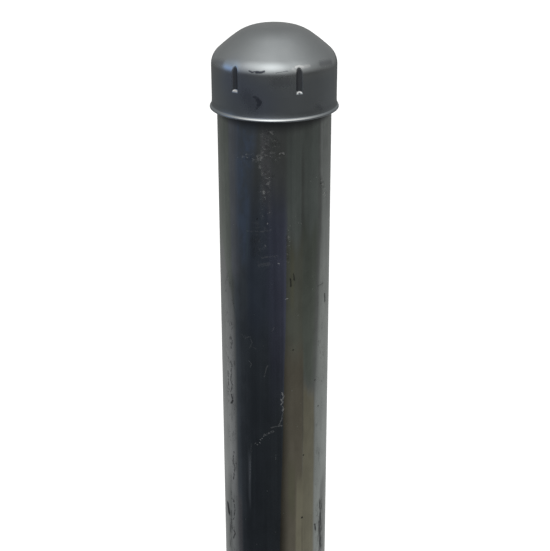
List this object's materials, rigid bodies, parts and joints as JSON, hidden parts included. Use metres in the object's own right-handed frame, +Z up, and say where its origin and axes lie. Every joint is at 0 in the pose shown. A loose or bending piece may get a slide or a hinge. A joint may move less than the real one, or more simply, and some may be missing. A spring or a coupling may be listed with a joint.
{
  "type": "pipe fence post",
  "caption": "Upright round steel pipe post, open at the foot, closed at the top by a pressed dome cap with grip ribs and a flared mouth.",
  "frame": {"origin": "centre of the pipe's sawn foot", "axes": "+Z up the post to the dome; -Y faces the picture's camera, between two of the cap's grip ribs"},
  "size_m": [0.0678, 0.0678, 1.8448],
  "materials": {
    "mill_steel": "bare mill-finish steel pipe with dark blue-black mill scale, fine lengthwise streaks, specks and scratches",
    "cap_steel": "satin grey pressed steel, a little lighter than the pipe, with scuffs on the shoulder and a bright mouth edge"
  },
  "bodies": {
    "root": {"pipe": "mill_steel", "cap": "cap_steel"}
  },
  "joints": []
}
